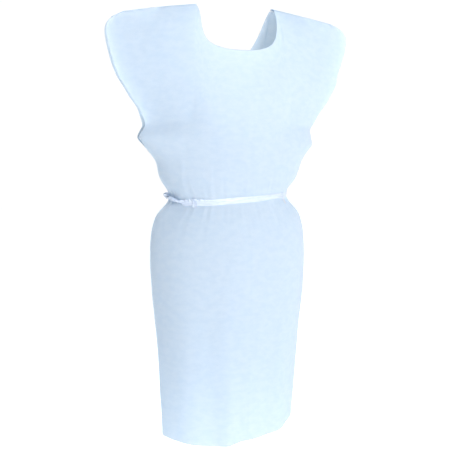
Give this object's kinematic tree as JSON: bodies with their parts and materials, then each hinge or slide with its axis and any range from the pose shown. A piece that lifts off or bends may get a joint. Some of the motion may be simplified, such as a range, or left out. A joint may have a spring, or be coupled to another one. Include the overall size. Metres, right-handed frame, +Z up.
{
  "type": "patient gown",
  "caption": "Sleeveless disposable patient gown of light blue tissue, with cap sleeves, a scoop neck, an open back and a film tie belt.",
  "frame": {"origin": "midway between the neck ends of the two shoulder seals, on the line on which the gown hangs from the shoulders", "axes": "+Z up towards the head, -Y towards the front of the wearer, +X towards the wearer's left hand"},
  "size_m": [0.6362, 0.2764, 1.0696],
  "materials": {
    "tissue_sheet": "matt creped tissue laid over a thin film, light blue",
    "shoulder_seal": "the same sheet pressed flat by a heat seal",
    "belt_film": "thin milky polyethylene film with a soft gloss"
  },
  "bodies": {
    "gown_body": {"front_panel": "tissue_sheet", "back_panel_left": "tissue_sheet", "back_waist_left": "tissue_sheet", "back_panel_right": "tissue_sheet", "back_waist_right": "tissue_sheet", "sleeve_front_left": "tissue_sheet", "sleeve_front_right": "tissue_sheet", "sleeve_back_left": "tissue_sheet", "sleeve_back_right": "tissue_sheet", "shoulder_seal_left": "shoulder_seal", "shoulder_seal_right": "shoulder_seal", "sleeve_seal_left": "shoulder_seal", "sleeve_seal_right": "shoulder_seal", "waist_belt": "belt_film", "belt_keeper_left": "belt_film", "belt_keeper_right": "belt_film", "belt_knot": "belt_film"},
    "flap_left": {"back_flap_left": "tissue_sheet"},
    "flap_right": {"back_flap_right": "tissue_sheet"},
    "tail_left": {"belt_tail_left": "belt_film"},
    "tail_right": {"belt_tail_right": "belt_film"}
  },
  "joints": [
    {"name": "flap_left_open", "type": "hinge", "parent": "gown_body", "child": "flap_left", "pos_m": [0.2092, 0.03, -0.588], "axis": [-0.0872, 0, -0.9962], "range_deg": [0, 60]},
    {"name": "flap_right_open", "type": "hinge", "parent": "gown_body", "child": "flap_right", "pos_m": [-0.2092, 0.03, -0.588], "axis": [0.0872, 0, -0.9962], "range_deg": [-36, 0]},
    {"name": "tail_left_lift", "type": "hinge", "parent": "gown_body", "child": "tail_left", "pos_m": [0.0175, 0.1285, -0.4698], "axis": [1, 0, 0], "range_deg": [0, 70]},
    {"name": "tail_right_lift", "type": "hinge", "parent": "gown_body", "child": "tail_right", "pos_m": [-0.0175, 0.1285, -0.4698], "axis": [1, 0, 0], "range_deg": [0, 70]}
  ],
  "couplings": [
    {"joint": "flap_right_open", "follows": "flap_left_open", "ratio": -0.6}
  ]
}
